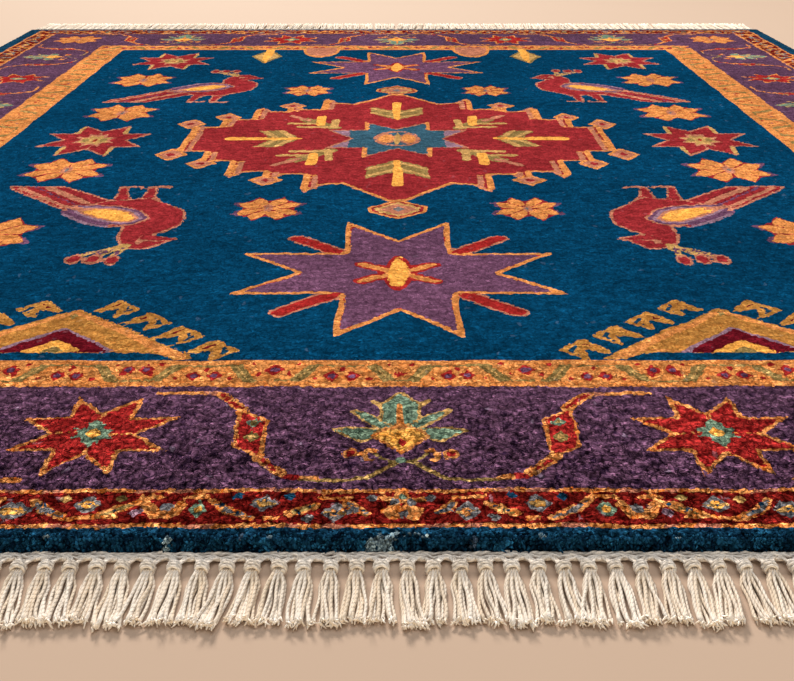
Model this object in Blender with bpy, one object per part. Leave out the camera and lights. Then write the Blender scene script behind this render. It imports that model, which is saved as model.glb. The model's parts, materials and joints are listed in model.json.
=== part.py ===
"""A hand-knotted wool rug, lying flat, with a knotted cotton fringe at both ends.

Metres, +Z up. The rug's width runs along X and its length along Y, the near end at -Y. The origin is the middle of
the underside of the pile, on the surface that the rug lies on.
"""

import math

import bmesh
import bpy

# The knotted part.
RUG_WIDTH = 1.700
RUG_LENGTH = 2.300
RUG_THICKNESS = 0.010  # foundation and pile together
RIM_ROUND = 0.0025  # how far the clipped pile rounds off at the top of the rim
RIM_SEGMENTS = 3

# The twined strip that the warp ends come out of, parted from the pile's edge.
PART_GAP = 0.0003
STRIP_WIDTH = 0.0097
STRIP_HEIGHT = 0.0040
STRIP_INSET = 0.0010  # how far it stops short of the rug's corners
STRIP_ROUND = 0.0012
STRIP_SEGMENTS = 1

# The tassels. Each is the warp ends of one pitch, tied in a knot and laid out flat on the surface.
TASSEL_COUNT = 104
TASSEL_PITCH = RUG_WIDTH / TASSEL_COUNT
ROOT_DEPTH = 0.0030  # how far a tassel's root reaches into the strip
NEAR_REACH = 0.081  # from the pile's edge to the tips
FAR_REACH = 0.150

# One row for each section of a tassel: where it is, counted from the strip's outer face, how wide and how high it is
# there, and how far its underside is above the surface.
TASSEL_TIE = (
    # name, place, width, height, underside
    ("root", -ROOT_DEPTH, 0.0135, 0.0028, 0.0005),
    ("neck", 0.0042, 0.0066, 0.0036, 0.0005),
    ("knot_back", 0.0056, 0.0086, 0.0055, 0.0),
    ("knot_front", 0.0116, 0.0088, 0.0056, 0.0),
    ("waist", 0.0132, 0.0076, 0.0046, 0.0),
)
# The rows of the loose part, where the place is a share of its length. It rests level on the surface.
TASSEL_FALL = (
    # name, share of the free length, width, height
    ("belly", 0.36, 0.0122, 0.0040),
    ("tip", 1.00, 0.0126, 0.0026),
)
CREST_SHARE = 0.62  # a section's top is this share of its width at the surface

# Neighbouring tassels lean together in slow waves, and their tips are cut unevenly.
LEAN_WAVES = ((0.0026, 0.37, 0.4), (0.0007, 2.30, 1.9))  # size, radians a tassel, phase
TRIM_WAVES = ((0.0022, 1.70, 0.8), (0.0014, 2.90, 2.2))

WOOL_COLOUR = (0.010, 0.047, 0.092, 1.0)
COTTON_COLOUR = (0.610, 0.500, 0.370, 1.0)
CLOTH_ROUGHNESS = 0.92
SHARP_ANGLE = math.radians(50)


def clear_scene():
    for thing in list(bpy.data.objects):
        bpy.data.objects.remove(thing, do_unlink=True)


def new_collection(name, hidden=False):
    collection = bpy.data.collections.new(name)
    collection.hide_render = hidden
    bpy.context.scene.collection.children.link(collection)
    return collection


def cloth_material(name, colour):
    material = bpy.data.materials.new(name)
    material.use_nodes = True
    shader = material.node_tree.nodes["Principled BSDF"]
    shader.inputs["Base Color"].default_value = colour
    shader.inputs["Roughness"].default_value = CLOTH_ROUGHNESS
    shader.inputs["Metallic"].default_value = 0.0
    material.diffuse_color = colour
    return material


def new_object(name, bm, collection, material):
    mesh = bpy.data.meshes.new(name)
    bmesh.ops.recalc_face_normals(bm, faces=bm.faces)
    bm.to_mesh(mesh)
    bm.free()
    mesh.shade_smooth()
    mesh.set_sharp_from_angle(angle=SHARP_ANGLE)
    mesh.materials.append(material)
    thing = bpy.data.objects.new(name, mesh)
    collection.objects.link(thing)
    return thing


def box_bmesh(low, high):
    """A cube primitive stretched between two corners."""
    bm = bmesh.new()
    bmesh.ops.create_cube(bm, size=1.0)
    for vert in bm.verts:
        for axis in range(3):
            middle = (low[axis] + high[axis]) / 2
            vert.co[axis] = middle + vert.co[axis] * (high[axis] - low[axis])
    return bm


def round_edges(bm, edges, width, segments):
    bmesh.ops.bevel(bm, geom=edges, offset=width, segments=segments, affect="EDGES")


def make_pile(collection, material):
    half_width, half_length = RUG_WIDTH / 2, RUG_LENGTH / 2
    bm = box_bmesh((-half_width, -half_length, 0), (half_width, half_length, RUG_THICKNESS))
    top_edges = [edge for edge in bm.edges if all(vert.co.z > 0 for vert in edge.verts)]
    round_edges(bm, top_edges, RIM_ROUND, RIM_SEGMENTS)
    return new_object("pile", bm, collection, material)


def waves(table, index):
    return sum(size * math.sin(turn * index + phase) for size, turn, phase in table)


def tassel_sections(index, reach):
    """Centre offset, distance from the strip, width, height and underside of each section of one tassel."""
    fall_start = TASSEL_TIE[-1][1]
    trim = waves(TRIM_WAVES, index) - sum(size for size, _, _ in TRIM_WAVES)
    free_length = reach - PART_GAP - STRIP_WIDTH - fall_start + trim
    lean = waves(LEAN_WAVES, index) * reach / NEAR_REACH
    sections = [(0.0, place, width, height, under) for _, place, width, height, under in TASSEL_TIE]
    for _, share, width, height in TASSEL_FALL:
        sections.append((lean * share**1.5, fall_start + share * free_length, width, height, 0.0))
    return sections


def add_tassel(bm, x, y_strip, outward, sections):
    """A loft of four-sided sections, each flat underneath and narrower on top."""
    rings = []
    for offset, place, width, height, under in sections:
        y = y_strip + outward * place
        corners = (
            (-width / 2, under),
            (width / 2, under),
            (width / 2 * CREST_SHARE, under + height),
            (-width / 2 * CREST_SHARE, under + height),
        )
        rings.append([bm.verts.new((x + offset + dx, y, z)) for dx, z in corners])
    for first, second in zip(rings, rings[1:]):
        for side in range(4):
            after = (side + 1) % 4
            bm.faces.new((first[side], first[after], second[after], second[side]))
    bm.faces.new(rings[0])
    bm.faces.new(reversed(rings[-1]))


def make_fringe(name, outward, reach, collection, helpers, material):
    """The strip, joined with its tassels. `outward` is -1 at the near end and +1 at the far end."""
    y_inner = outward * (RUG_LENGTH / 2 + PART_GAP)
    y_outer = y_inner + outward * STRIP_WIDTH
    half = RUG_WIDTH / 2 - STRIP_INSET
    strip = box_bmesh((-half, min(y_inner, y_outer), 0), (half, max(y_inner, y_outer), STRIP_HEIGHT))
    y_middle = (y_inner + y_outer) / 2
    outer_top_edges = [
        edge
        for edge in strip.edges
        if all(vert.co.z > 0 and outward * (vert.co.y - y_middle) > 0 for vert in edge.verts)
    ]
    round_edges(strip, outer_top_edges, STRIP_ROUND, STRIP_SEGMENTS)
    fringe = new_object(name, strip, collection, material)

    tassels = bmesh.new()
    for index in range(TASSEL_COUNT):
        x = (index + 0.5) * TASSEL_PITCH - RUG_WIDTH / 2
        add_tassel(tassels, x, y_outer, outward, tassel_sections(index, reach))
    joined = new_object(name + "_tassels", tassels, helpers, material)
    joined.hide_render = True
    joined.display_type = "WIRE"

    union = fringe.modifiers.new("tassels", "BOOLEAN")
    union.operation = "UNION"
    union.solver = "EXACT"
    union.object = joined
    return fringe


def main():
    clear_scene()
    rug = new_collection("persian_rug")
    helpers = new_collection("helpers", hidden=True)
    wool = cloth_material("wool_pile", WOOL_COLOUR)
    cotton = cloth_material("cotton_warp", COTTON_COLOUR)
    make_pile(rug, wool)
    make_fringe("fringe_near", -1, NEAR_REACH, rug, helpers, cotton)
    make_fringe("fringe_far", 1, FAR_REACH, rug, helpers, cotton)


main()
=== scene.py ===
# %% [markdown]
# # A hand-knotted wool rug
# The rug is a flat sheet of cloth: cotton warps and wefts with short wool yarns knotted round the warps,
# row by row, and clipped level. The warp ends hang out at both ends of the rug and are tied into tassels.
# The solids of the rug come from a frame that is already built, so this lesson only makes the looks: the
# pattern in the pile, the wool, the cotton, and then a camera, a floor and light.

# %% Load the frame
import functools
import json
import math

import bpy
import numpy as np
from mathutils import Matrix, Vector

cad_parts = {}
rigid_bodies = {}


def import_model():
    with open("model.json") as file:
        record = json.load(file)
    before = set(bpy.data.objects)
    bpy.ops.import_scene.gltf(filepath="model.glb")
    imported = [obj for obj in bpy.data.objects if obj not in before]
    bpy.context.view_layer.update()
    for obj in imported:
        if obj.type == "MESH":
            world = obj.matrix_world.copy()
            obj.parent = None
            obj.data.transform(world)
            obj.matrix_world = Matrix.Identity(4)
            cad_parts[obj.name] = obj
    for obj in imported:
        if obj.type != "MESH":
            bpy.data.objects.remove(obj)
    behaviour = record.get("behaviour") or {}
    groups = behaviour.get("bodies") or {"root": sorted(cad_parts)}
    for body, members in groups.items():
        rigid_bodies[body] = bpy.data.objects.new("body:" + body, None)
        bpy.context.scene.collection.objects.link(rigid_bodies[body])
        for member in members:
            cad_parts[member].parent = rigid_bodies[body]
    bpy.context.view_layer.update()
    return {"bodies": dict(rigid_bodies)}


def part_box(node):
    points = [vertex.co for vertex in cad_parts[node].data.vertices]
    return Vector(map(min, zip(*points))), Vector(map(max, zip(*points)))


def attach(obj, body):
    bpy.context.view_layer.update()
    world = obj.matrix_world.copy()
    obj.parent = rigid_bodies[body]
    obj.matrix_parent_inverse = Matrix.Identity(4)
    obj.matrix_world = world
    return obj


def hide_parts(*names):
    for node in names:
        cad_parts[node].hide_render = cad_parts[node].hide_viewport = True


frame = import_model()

pile_low, pile_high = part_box("pile")
near_low, near_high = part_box("fringe_near")
far_low, far_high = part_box("fringe_far")
BODY = next(iter(frame["bodies"]))

# %% [markdown]
# ## Camera
# The camera stands close to the near end, a little under half a metre up, and looks down the length of the
# rug. It comes first, so that every piece can be judged from it at once. Its lens is given on the usual 36
# mm wide sensor.

# %% Camera
CAMERA_PLACE = (0.0, -1.857, 0.434)
CAMERA_DOWN = 21.91  # degrees below the horizon
CAMERA_RIGHT = 0.10  # degrees to the right of the rug's length
LENS_MM = 57.06

lens = bpy.data.cameras.new("camera")
lens.sensor_width = 36.0
lens.lens = LENS_MM
lens.clip_start = 0.01
camera = bpy.data.objects.new("camera", lens)
camera.location = CAMERA_PLACE
camera.rotation_euler = (math.radians(90 - CAMERA_DOWN), 0, math.radians(-CAMERA_RIGHT))
bpy.context.scene.collection.objects.link(camera)
bpy.context.scene.camera = camera
print("camera", CAMERA_PLACE, "lens", LENS_MM, "mm")

# %% [markdown]
# ## Helpers
# A colour is written as the sRGB hex value that a colour picker shows, and turned to the linear numbers
# that shaders work with. One short function adds a shader node with its settings and its links.

# %% Colour and node helpers
def linear(hex_colour):
    """An sRGB hex value as linear red, green, blue and alpha."""
    srgb = np.array([int(hex_colour[i : i + 2], 16) for i in (1, 3, 5)]) / 255
    values = np.where(srgb <= 0.04045, srgb / 12.92, ((srgb + 0.055) / 1.055) ** 2.4)
    return (*values.tolist(), 1.0)


def set_inputs(node, values):
    """Fills inputs by name or number: with a socket, with a node's first output, or with a plain value."""
    for name, value in values.items():
        if isinstance(value, bpy.types.Node):
            value = value.outputs[0]
        if isinstance(value, bpy.types.NodeSocket):
            node.id_data.links.new(value, node.inputs[name])
        else:
            node.inputs[name].default_value = value


def add_node(tree, kind, values=None, **settings):
    """A shader node of one kind. The settings are its attributes, and the values go to its inputs."""
    made = tree.nodes.new("ShaderNode" + kind)
    for name, value in settings.items():
        setattr(made, name, value)
    set_inputs(made, values or {})
    return made


def new_material(name):
    """An empty material, the function that adds nodes to it, and its Principled shader on the output."""
    material = bpy.data.materials.new(name)
    material.use_nodes = True
    material.node_tree.nodes.clear()
    add = functools.partial(add_node, material.node_tree)
    shader = add("BsdfPrincipled")
    add("OutputMaterial", {"Surface": shader})
    return material, add, shader


def smooth(share):
    """Eases from 0 to 1 as share does: 3 s^2 - 2 s^3."""
    share = np.clip(share, 0, 1)
    return share * share * (3 - 2 * share)


def new_piece(name, points, faces, material, corner_uv, values, node):
    """A mesh object from arrays: points (n, 3), faces (m, 3 or 4), UVs for each corner and values for
    each point. It rides the body and stands for the solid of one node."""
    mesh = bpy.data.meshes.new(name)
    sides = faces.shape[1]
    mesh.vertices.add(len(points))
    mesh.vertices.foreach_set("co", np.ascontiguousarray(points, np.float32).ravel())
    mesh.loops.add(faces.size)
    mesh.loops.foreach_set("vertex_index", faces.astype(np.int32).ravel())
    mesh.polygons.add(len(faces))
    mesh.polygons.foreach_set("loop_start", np.arange(0, faces.size, sides, dtype=np.int32))
    mesh.update(calc_edges=True)
    layer = mesh.uv_layers.new(name="cloth")
    layer.data.foreach_set("uv", np.ascontiguousarray(corner_uv, np.float32).ravel())
    for key, numbers in values.items():
        attribute = mesh.attributes.new(key, "FLOAT", "POINT")
        attribute.data.foreach_set("value", np.ascontiguousarray(numbers, np.float32))
    mesh.shade_smooth()
    mesh.materials.append(material)
    piece = bpy.data.objects.new(name, mesh)
    bpy.context.scene.collection.objects.link(piece)
    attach(piece, BODY)
    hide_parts(node)
    print(name, len(faces) * (sides - 2), "triangles")
    return piece

# %% [markdown]
# ## The yarns
# A weaver works from a chart: one colour for each knot. Here the chart is kept as one number for each yarn
# at each point of the cloth, the signed distance to the edge of that yarn's area, positive inside. The yarn
# with the largest number is the one that shows. Distances blend smoothly between the points of a mesh, so
# an outline stays clean on a mesh that is no finer than the knots, and the shader can still roughen it tuft
# by tuft. The chart is drawn in millimetres.

# %% Yarns
YARNS = {  # the deepest and the palest shade of each hand-dyed yarn
    "navy": ("#0a1e33", "#1e5274"),
    "indigo": ("#03253d", "#094c76"),
    "purple": ("#22142a", "#785472"),
    "plum": ("#30172a", "#8a5f82"),
    "gold": ("#b25a1e", "#f0aa68"),
    "straw": ("#a27a44", "#d8ae70"),
    "ochre": ("#8f4c18", "#d09c54"),
    "yellow": ("#e08c32", "#ffc266"),
    "red": ("#4e0c0c", "#8a2420"),
    "madder": ("#861a1c", "#b43432"),
    "crimson": ("#802126", "#a0343a"),
    "maroon": ("#430914", "#7d1c2a"),
    "pink": ("#a2614d", "#c8866c"),
    "green": ("#4a6456", "#8ba690"),
    "olive": ("#665228", "#a88f5c"),
    "slate": ("#4a4f58", "#8f8a8c"),
    "frost": ("#2c4456", "#a9c3d0"),
    "azure": ("#274a5e", "#40667c"),
    "lilac": ("#6f5068", "#a8889a"),
}
ROWS = {yarn: row for row, yarn in enumerate(YARNS)}
MM = 0.001
DEEPEST = 8  # distances are kept only this many millimetres from an outline
print(len(YARNS), "yarns:", ", ".join(YARNS))

# %% [markdown]
# A shape is a formula for that distance at the points (p, q). The pen lays one shape after another into the
# chart, as a weaver lays one motif inside another.

# %% Shapes and the pen that knots them in
def nearest_on(p, q, start, end):
    """How far along a straight piece the nearest place lies, from 0 to 1, and how far away it is."""
    run_p, run_q = end[0] - start[0], end[1] - start[1]
    along = ((p - start[0]) * run_p + (q - start[1]) * run_q) / (run_p * run_p + run_q * run_q)
    along = np.clip(along, 0, 1)
    return along, np.hypot(p - start[0] - along * run_p, q - start[1] - along * run_q)


def polygon(p, q, *corners):
    """Distance to the nearest side of a closed outline, positive where a ray to the right crosses it an
    odd number of times."""
    nearest = np.full(p.shape, np.inf)
    inside = np.zeros(p.shape, bool)
    for start, end in zip(corners, corners[1:] + corners[:1]):
        nearest = np.minimum(nearest, nearest_on(p, q, start, end)[1])
        if start[1] != end[1]:
            cut = (end[0] - start[0]) * (q - start[1]) / (end[1] - start[1]) + start[0]
            inside ^= ((start[1] > q) != (end[1] > q)) & (p < cut)
    return np.where(inside, nearest, -nearest)


def stroke(p, q, *points):
    """A line through points (p, q, half width), thick at each point as it says, and round at its joints."""
    reach = np.full(p.shape, -np.inf)
    for start, end in zip(points, points[1:]):
        along, away = nearest_on(p, q, start, end)
        reach = np.maximum(reach, start[2] + (end[2] - start[2]) * along - away)
    return reach


def box(p, q, at_p, at_q, half_p, half_q):
    """Distance to a rectangle about a place."""
    return np.minimum(half_p - np.abs(p - at_p), half_q - np.abs(q - at_q))


def diamond(p, q, at_p, at_q, half_p, half_q):
    """Distance to a rhombus about a place."""
    share = 1 - np.abs(p - at_p) / half_p - np.abs(q - at_q) / half_q
    return share * half_p * half_q / np.hypot(half_p, half_q)


def oval(p, q, at_p, at_q, half_p, half_q):
    """About the distance to an ellipse about a place."""
    return (1 - np.hypot((p - at_p) / half_p, (q - at_q) / half_q)) * min(half_p, half_q)


def mirrored(quarter):
    """The whole outline of a shape from the points of its first quarter, which runs from the X axis to
    the Y axis."""
    half = quarter + [(-x, y) for x, y in reversed(quarter) if x > 0]
    return half + [(x, -y) for x, y in reversed(half) if y > 0]


def star(p, q, tip, arm, notch):
    """The eight-pointed star of village rugs. Its arms have straight sides at x = arm and y = arm, so
    its slanting notches are square. tip, arm and notch are (x, y) pairs."""
    quarter = [(notch[0], 0), (tip[0], arm[1]), (arm[0], arm[1]), (arm[0], tip[1]), (0, notch[1])]
    return polygon(p, q, *mirrored(quarter))


class Pen:
    """Knots shapes into a chart whose points lie at p and q, in a motif's own coordinates."""

    def __init__(self, chart, p, q):
        self.chart, self.p, self.q = chart, p, q

    def on(self, p, q):
        """The same chart in other coordinates."""
        return Pen(self.chart, p, q)

    def folded(self):
        """The same chart folded on both axes, so that a quarter is drawn for the whole."""
        return self.on(np.abs(self.p), np.abs(self.q))

    def knot(self, yarns, shape, *numbers):
        """Lays a shape over the chart: every other yarn gives way to it, and its own area grows by it.
        The shape is a function with its numbers, or distances. "gold 3 red" is red with a gold outline 3
        mm wide."""
        inside = shape(self.p, self.q, *numbers) if numbers else shape
        first, *rest = yarns.split()
        for depth, yarn in (("0", first), *zip(rest[::2], rest[1::2])):
            deep = np.clip(inside - float(depth), -DEEPEST, DEEPEST)
            grown = np.maximum(self.chart[ROWS[yarn]], deep)
            np.minimum(self.chart, -deep, out=self.chart)
            self.chart[ROWS[yarn]] = grown

    def work(self, here, motif, *numbers):
        """Knots a motif into some of the points alone."""
        here = np.flatnonzero(here)
        part = Pen(self.chart[:, here], self.p[here], self.q[here])
        motif(part, *numbers)
        self.chart[:, here] = part.chart

    def place(self, at, reach, motif, *numbers):
        """Knots a motif round a place. Only the points within reach are worked on."""
        moved = self.on(self.p - at[0], self.q - at[1])
        near = (np.abs(moved.p) < reach[0] + DEEPEST) & (np.abs(moved.q) < reach[1] + DEEPEST)
        moved.work(near, motif, *numbers)

# %% [markdown]
# ## Borders
# From the edge inwards the rug has a navy edge, a red guard stripe, a wide purple border, a gold guard
# stripe and the navy field. They are nested rectangles, so each is one distance. The stripes repeat, and a
# repeat that is its own mirror image is drawn once, on a coordinate folded back and forth like a paper
# strip.

# %% Bands and folding
RUG_WIDTH = float(pile_high[0] - pile_low[0])
RUG_LENGTH = float(pile_high[1] - pile_low[1])
RUG_TOP = float(pile_high[2])
GUARD_OUT = (825, 1133.6)  # half width and half length of the red guard's outer edge
PURPLE_OUT = (777, 1080.3)
GOLD_OUT = (633, 905)
FIELD_OUT = (575, 849)
EDGE_LINE = 5.2  # the ragged gold line on both edges of the red guard
BLUSH_WAVES, BLUSH_FROM, BLUSH_SLOPE = (83, 31), 0.55, 4  # where that line turns pink
MIDDLE_X = 4.5  # the weaver's middle lies a little to the right of the rug's
MIDDLE_Y = 10


def fold(along, period):
    """Distance along a stripe to the nearest middle of a repeat: a triangle wave from 0 to half the
    period."""
    return np.abs((along + period / 2) % period - period / 2)


def bands(pen):
    """The nested rectangles, from the edge inwards."""
    inner = [side + EDGE_LINE for side in PURPLE_OUT]
    pen.knot(f"gold {EDGE_LINE} red", box, 0, 0, *GUARD_OUT)
    pen.knot("gold", box, 0, 0, *inner)
    long_wave, short_wave = (2 * math.pi / length for length in BLUSH_WAVES)
    blush = np.sin((pen.p + 0.6 * pen.q) * long_wave) + np.sin((pen.p - pen.q) * short_wave)
    for half in (GUARD_OUT, inner):
        inside = box(pen.p, pen.q, 0, 0, *half)
        line = np.minimum(inside, EDGE_LINE - inside)
        pen.knot("pink", np.minimum(line, (blush - BLUSH_FROM) * BLUSH_SLOPE))
    for yarn, half in (("purple", PURPLE_OUT), ("gold", GOLD_OUT), ("indigo", FIELD_OUT)):
        pen.knot(yarn, box, 0, 0, *half)

# %% [markdown]
# ### Guard stripes
# The gold guard carries a meander of olive and straw, a line that climbs and falls between two flats, with
# small red flowers under its upper flats and over its lower ones. The red guard has small flowers at two
# heights with slanting leaves between them. Both are drawn in the stripe's own coordinates: along it, and
# across it towards the field.

# %% Gold guard
MEANDER = 116.5  # one climb and fall
FIRST_PEAK = 49  # from the weaver's middle to the first upper flat of the meander
SIDE_FLOWER = 0.55  # size of the flowers along the sides beside those of the ends


def small_flower(pen, petals, heart, p, q, half_p, half_q):
    """Two crossed lozenges of one yarn with a heart of another."""
    pen.knot(petals, diamond, p, q, half_p, half_q)
    pen.knot(petals, box, p, q, half_p * 0.50, half_q * 0.52)
    pen.knot(heart, oval, p, q, half_p * 0.42, half_q * 0.42)


def gold_guard(pen, flower=1.0):
    """q runs from 0 at the purple border to 56 at the field. High is drawn on the distance to the
    nearest upper flat of the meander, low on the distance to the nearest lower one."""
    outer = fold(np.abs(pen.p) - FIRST_PEAK, MEANDER)
    high, low = pen.on(outer, pen.q), pen.on(MEANDER / 2 - outer, pen.q)
    high.knot("olive 4.2 straw", polygon, (17, 46.5), (29, 46.5), (46, 10.5), (34, 10.5))
    high.knot("olive", stroke, (0, 44, 1.9), (20, 44, 1.9))
    low.knot("olive", stroke, (0, 12, 1.9), (14, 12, 1.9))
    small_flower(high, "madder", "plum", 8.2, 22.5, 7.4 * flower, 11.2 * flower)
    high.knot("madder", oval, 0, 37.5, 2.6, 5)
    high.knot("madder", oval, 22.5, 16.5, 2.6, 3.4)
    apart = 1.2 + 7 * smooth((np.abs(pen.p) - 150) / 30)
    small_flower(low, "madder", "plum", apart, 35, 7.6 * flower, 11.5 * flower)
    low.knot("madder", oval, 12.5, 26, 2.2, 5)
    low.knot("madder", oval, 19.5, 47, 2.8, 3.4)

# %% Red guard
GUARD_REPEAT = 526
SLATE_FLOWERS = ((44.8, -5, "gold"), (93, 5.5, "yellow"), (214, 4.5, "yellow"), (260, -3, "yellow"))
BUDS = ((20.5, 14.5, "slate"), (76.5, 15, "navy"), (111.5, 15, "navy"), (62, -13.5, "slate"),
        (180, -7, "lilac"), (193, 13, "olive"), (231, 12.5, "straw"))
LEAVES = ((36, 8, 22.5, -7.5), (76.5, -9, 57.5, 5.5), (101, -14, 130, 11), (203, -10, 176, 11),
          (228, -12, 252, 12))
GOLD_TWIGS = (
    ((133, 17, 3), (148, 14, 2.6)),
    ((192, -13, 2.2), (210, -12.5, 2.6), (224, -14.5, 2.4)),
    ((150, 5, 4), (156, -10, 4.5), (166, -10, 4.5), (174, 3.5, 4.5)),
    ((166, 15, 2.8), (179, 15, 2.8)),
    ((84, -15, 2.8), (90, -14, 2.8)),
    ((56, 15, 2.2), (35, 14, 2.4)),
)
MIDDLE_TWIGS = (((0, 24, 5), (0, 12, 6)), ((3, 2, 4), (9, -4, 5.6), (6, -13, 4)), ((6, 8, 3.6), (14, 14, 3)))


def red_guard(pen):
    """q is 0 in the middle of the stripe and grows towards the field."""
    pen = pen.on(fold(pen.p, GUARD_REPEAT), pen.q)
    for number, (start, low, end, high) in enumerate(LEAVES):
        middle = ((start + end) / 2 + 2, (low + high) / 2 - 2, 5.2)
        blade = ("slate", "olive")[number % 2]
        pen.knot("gold 2.7 " + blade, stroke, (start, low, 4), middle, (end, high, 3))
        for share in (0.30, 0.72):
            pen.knot("navy", oval, start + (end - start) * share, low + (high - low) * share, 1.7, 2.2)
    for p, q, heart in SLATE_FLOWERS:
        small_flower(pen, "slate", heart, p, q, 10.5, 13)
        pen.knot("straw", stroke, (p - 6, q - 1.6, 1.7), (p + 6, q + 1.2, 1.7))
        pen.knot("navy", oval, p + 0.6, q, 1.5, 2.2)
    small_flower(pen, "green", "yellow", 138.6, -2, 7.5, 12.5)
    for twig in GOLD_TWIGS:
        pen.knot("gold", stroke, *twig)
    pen.knot("slate", oval, 160.5, 0, 4.5, 6)
    for p, q, yarn in BUDS:
        pen.knot(yarn, diamond, p, q, 5.2, 6.2)
    for twig in MIDDLE_TWIGS:
        pen.knot("gold", stroke, *twig)
    pen.knot("slate", oval, 6, 8, 3.6, 4.8)
    pen.knot("green", oval, 0, 15, 2.6, 4)
    pen.knot("red", oval, 0, 4, 2.2, 3)
    pen.knot("slate", oval, 0, -9, 2.8, 5.5)

# %% [markdown]
# ### The purple border
# Red eight-pointed stars take turns with green palmettes. From the stalk of each palmette a thin vine runs
# out to both sides, swells into a slanting ribbon with two little flowers in it, and ends in a dash under
# the gold guard.

# %% Palmette and vines
STAR_SHIFT = 3.5  # the stars and vines lie this much to the right of the palmettes
VINE = ((84, -71.5, 2.6), (66, -74.5, 2.6), (45, -74.5, 2.8), (28, -70, 2.8), (15, -57, 2.8), (3.5, -44, 2.8))
CURL_LEAF = ((17.5, -29, 2), (23.5, -27, 2.4), (27, -33, 2.4), (26.2, -40.5, 2.4), (21.2, -43, 2))
HEART = ((-20, 23), (2, 20), (7, 11), (12, 12), (23.5, -4), (12, -18), (0, -35), (-20, -35))


def palmette(pen):
    """A palmette about its middle, with q towards the field. Both halves are drawn at once, on |p|."""
    vine = pen.on(np.abs(pen.p - STAR_SHIFT), pen.q)
    vine.knot("olive", stroke, *VINE)
    vine.knot("straw", stroke, *((p, q, 1.3) for p, q, _ in VINE[1:]))
    vine.knot("gold", stroke, (200.5, 74.5, 3.2), (160, 74.5, 3.2))
    vine.knot("pink", stroke, (159.5, 75, 3.4), (149.5, 74, 3.4))
    vine.knot("gold 2.8 madder", stroke, (148.5, 72.5, 5), (129, 45, 5))
    vine.knot("gold 3.2 madder", stroke, (111, -37, 5.2), (90, -64.5, 4.6))
    vine.knot("madder", oval, 82, -70, 7, 4.4)
    vine.knot("gold", stroke, (74, -71.5, 3.4), (66, -72.5, 3))
    vine.knot("gold 3.4 madder", polygon, (133, 48), (105.5, 25), (106, -42), (131, -23))
    small_flower(vine, "green", "olive", 118, 20, 6.2, 8.5)
    small_flower(vine, "olive", "straw", 117.5, -5, 6.8, 10.5)
    half = pen.on(np.abs(pen.p), pen.q)
    half.knot("olive", stroke, (6, -45.5, 1.8), (14, -40, 1.8), (18.5, -33, 1.8))
    half.knot("gold", stroke, *CURL_LEAF)
    half.knot("gold 3 madder", oval, 37.2, -33, 6.6, 8.2)
    half.knot("straw 3 green", polygon, (-20, 76), (2.6, 76), (10, 63), (16.2, 56), (17, 20), (-20, 2))
    half.knot("straw", stroke, (15, 48, 2), (21.5, 60, 2.6))
    half.knot("straw 2.6 green", stroke, (12, 12, 6.6), (26, 28, 7.2), (37.5, 40, 3.6))
    half.knot("straw 2.8 green", polygon, (54, 7), (39, 11.5), (15, 9.5), (20, -8), (29, -16.5), (42.5, -5.5))
    half.knot("purple", stroke, (30, 15, 1.4), (17, 8, 1))
    half.knot("gold 3 yellow", polygon, *HEART)
    half.knot("gold", stroke, (0, 52, 2.2), (0, 10, 3.4))
    half.knot("madder", diamond, 0, -14, 4.6, 7.2)
    half.knot("green", oval, 0, -43, 4, 5)

# %% Star and rosette
def border_star(pen):
    """A red star with a gold outline and a green rosette."""
    pen = pen.folded()
    pen.knot("gold 3.6 madder", star, (62, 69), (25.5, 29), (34.5, 35))
    for end in ((0, 34, 1.4), (34, 0, 1.4)):
        pen.knot("gold", stroke, end, (0, 0, 1.4))
    pen.knot("green", star, (17, 19), (7, 8), (11, 12))
    pen.knot("green", diamond, 0, 0, 9, 26)
    pen.knot("yellow", diamond, 0, 0, 7, 10)


def rosette(pen, half_p, half_q):
    """Eight gold petals with crimson edges and plum points, and a notch between each two."""
    pen = pen.folded()
    quarter = [(0.70, 0.0), (1.0, 0.44), (0.60, 0.56), (0.36, 1.0), (0.0, 0.56)]
    petals = polygon(pen.p, pen.q, *mirrored([(x * half_p, y * half_q) for x, y in quarter]))
    pen.knot("crimson", petals)
    pen.knot("plum", np.minimum(petals + 3, pen.p - 0.84 * half_p))
    pen.knot("gold", petals - 2.4)
    for x, y in ((0.72, 0.0), (0.0, 0.58), (0.62, 0.58)):
        pen.knot("crimson", stroke, (0, 0, 1), (half_p * x, half_q * y, 2.4))
    pen.knot("pink", oval, 0, 0, half_p * 0.13, half_q * 0.30)
    pen.knot("slate", oval, 0, 0, half_p * 0.05, half_q * 0.14)

# %% The borders as a whole
PALMETTE_STEP = 476  # from one palmette to the next along the ends
SIDE_STEP = 250  # from a palmette to the next star along the sides
SIDE_SCALE = 0.82  # the side border is narrower than the end border
CORNER = (705, 993)
PALMETTE_REACH, STAR_REACH, CORNER_ROSETTE = (210, 90), (70, 80), (52, 60)


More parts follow.
